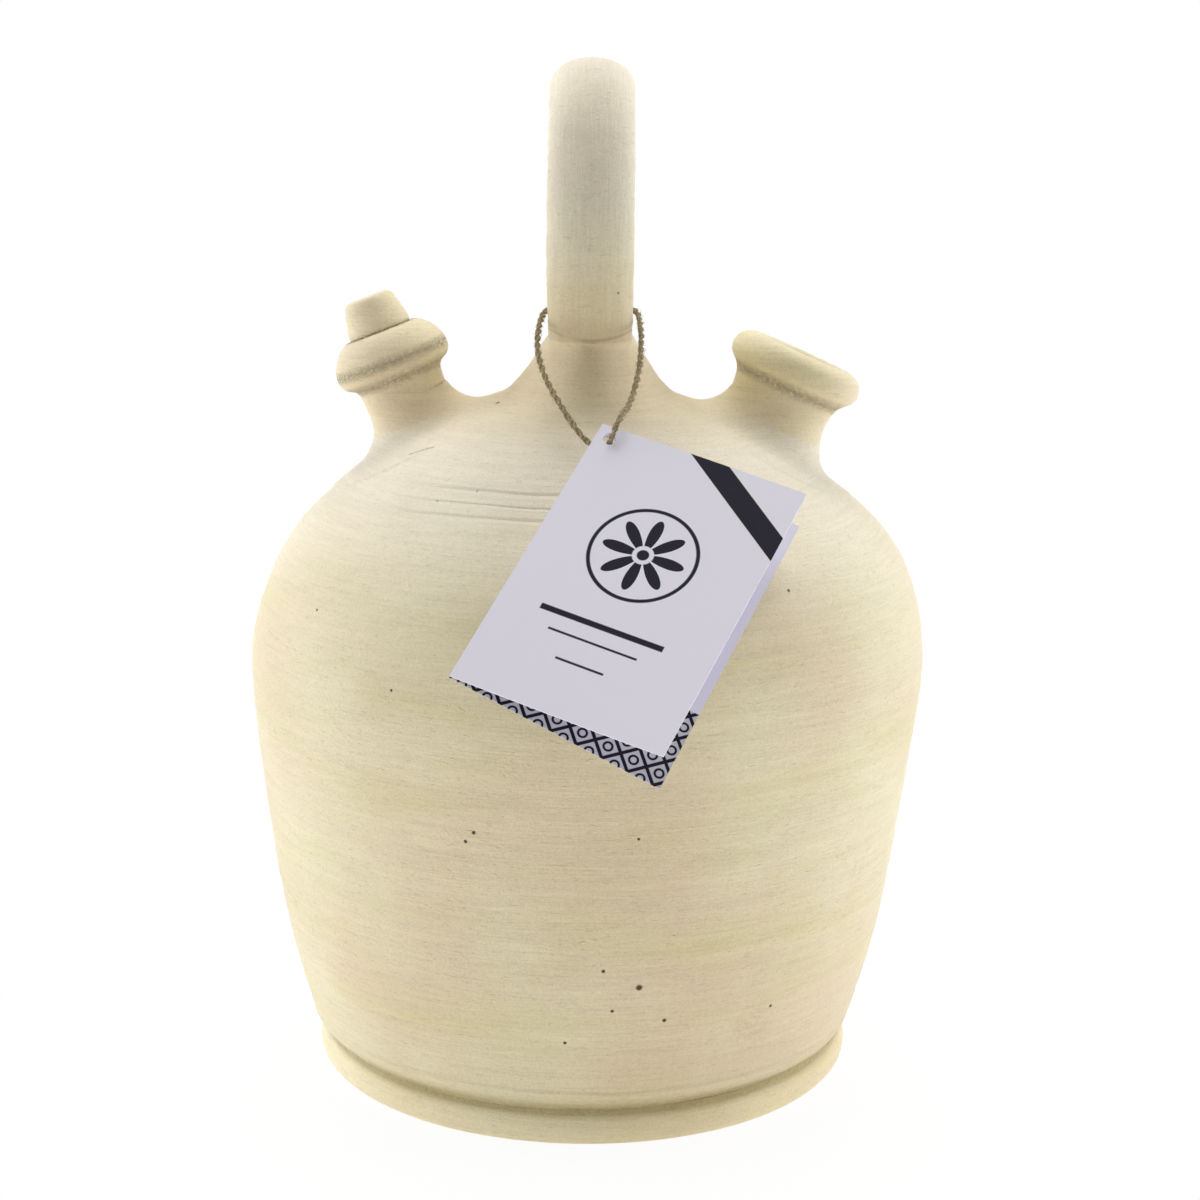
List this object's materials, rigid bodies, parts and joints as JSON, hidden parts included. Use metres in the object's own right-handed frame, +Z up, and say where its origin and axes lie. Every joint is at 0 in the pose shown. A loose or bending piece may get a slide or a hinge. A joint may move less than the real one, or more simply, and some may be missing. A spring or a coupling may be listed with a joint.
{
  "type": "spanish botijo water jug",
  "caption": "Unglazed clay drinking-water jug with a round belly, a ring handle on top, a filling mouth, a drinking spout and a folded card tag on twine.",
  "frame": {"origin": "on the jug's turning axis, at the underside of the foot", "axes": "+Z up, +X towards the wide filling mouth, -X towards the drinking spout, -Y towards the side with the card tag; the handle ring stands in the YZ plane"},
  "size_m": [0.21, 0.2461, 0.3108],
  "materials": {
    "clay": "matte",
    "card": "satin",
    "twine": "matte"
  },
  "bodies": {
    "vessel": {"foot_base": "clay", "belly_wall": "clay", "shoulder_dome": "clay", "crown_cap": "clay", "handle_ring": "clay", "mouth_neck": "clay", "spout_neck": "clay", "spout_nozzle": "clay"},
    "string": {"string_loop": "twine", "string_knot": "twine"},
    "tag_back": {"tag_back_leaf": "card"},
    "tag_front": {"tag_front_leaf": "card"}
  },
  "joints": [
    {"name": "tag_lift", "type": "hinge", "parent": "vessel", "child": "string", "pos_m": [0, -0.0106, 0.2389], "axis": [-1, 0, 0], "range_deg": [0, 65]},
    {"name": "tag_turn", "type": "hinge", "parent": "string", "child": "tag_back", "pos_m": [0.0053, -0.0661, 0.2028], "axis": [0.1417, -0.7795, 0.6101], "range_deg": [-25, 25]},
    {"name": "leaf_open", "type": "hinge", "parent": "tag_back", "child": "tag_front", "pos_m": [0.00169, -0.066, 0.20508], "axis": [-0.4382, -0.6021, -0.6675], "range_deg": [-11, 11]}
  ]
}
